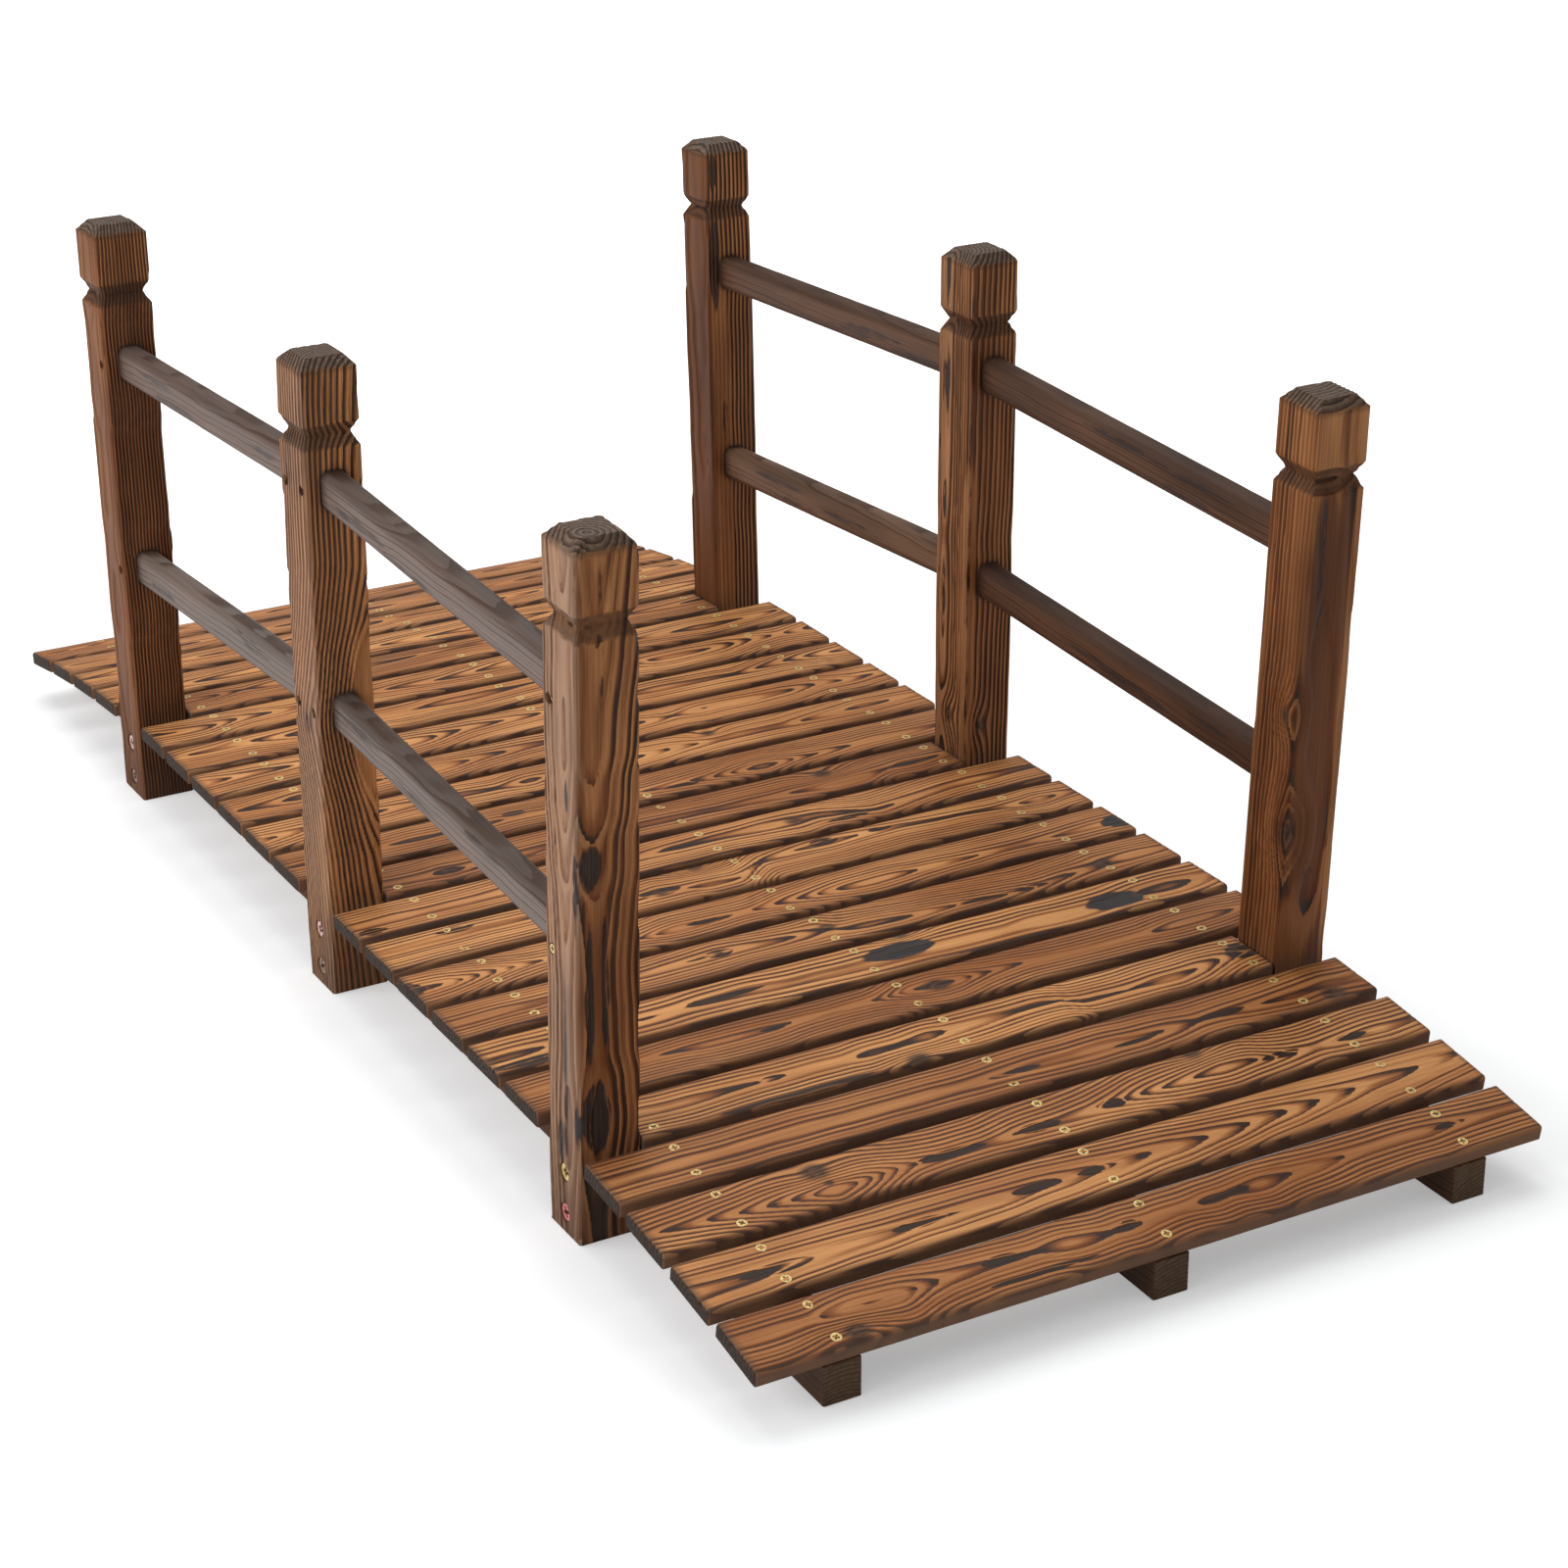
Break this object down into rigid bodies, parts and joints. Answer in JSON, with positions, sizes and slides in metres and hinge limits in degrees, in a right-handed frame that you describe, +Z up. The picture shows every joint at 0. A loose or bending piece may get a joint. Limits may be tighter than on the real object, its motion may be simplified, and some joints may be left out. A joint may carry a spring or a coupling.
{
  "type": "garden moon bridge",
  "caption": "Small free-standing garden bridge: a plank deck with curved-down ends on three stringers, and a post-and-rail railing with carved post heads on each side.",
  "frame": {"origin": "on the ground under the middle of the deck", "axes": "+X across the deck to the right, +Y along the deck from its front end to its back end, +Z up"},
  "size_m": [0.67, 1.5, 0.5462],
  "materials": {
    "deck_wood": "stained and charred fir, brushed grain",
    "stringer_wood": "dark stained fir",
    "post_wood": "stained and charred fir, brushed grain",
    "rail_wood": "grey-brown stained fir, smooth",
    "screw_brass": "yellow passivated screw heads"
  },
  "bodies": {
    "root": {"deck_plank_01": "deck_wood", "deck_plank_02": "deck_wood", "deck_plank_03": "deck_wood", "deck_plank_04": "deck_wood", "deck_plank_05": "deck_wood", "deck_plank_06": "deck_wood", "deck_plank_07": "deck_wood", "deck_plank_08": "deck_wood", "deck_plank_09": "deck_wood", "deck_plank_10": "deck_wood", "deck_plank_11": "deck_wood", "deck_plank_12": "deck_wood", "deck_plank_13": "deck_wood", "deck_plank_14": "deck_wood", "deck_plank_15": "deck_wood", "deck_plank_16": "deck_wood", "deck_plank_17": "deck_wood", "deck_plank_18": "deck_wood", "deck_plank_19": "deck_wood", "deck_plank_20": "deck_wood", "deck_plank_21": "deck_wood", "deck_plank_22": "deck_wood", "deck_plank_23": "deck_wood", "left_stringer": "stringer_wood", "middle_stringer": "stringer_wood", "right_stringer": "stringer_wood", "front_left_post": "post_wood", "middle_left_post": "post_wood", "back_left_post": "post_wood", "front_right_post": "post_wood", "middle_right_post": "post_wood", "back_right_post": "post_wood", "front_left_upper_rail": "rail_wood", "front_left_lower_rail": "rail_wood", "back_left_upper_rail": "rail_wood", "back_left_lower_rail": "rail_wood", "front_right_upper_rail": "rail_wood", "front_right_lower_rail": "rail_wood", "back_right_upper_rail": "rail_wood", "back_right_lower_rail": "rail_wood"}
  },
  "joints": []
}
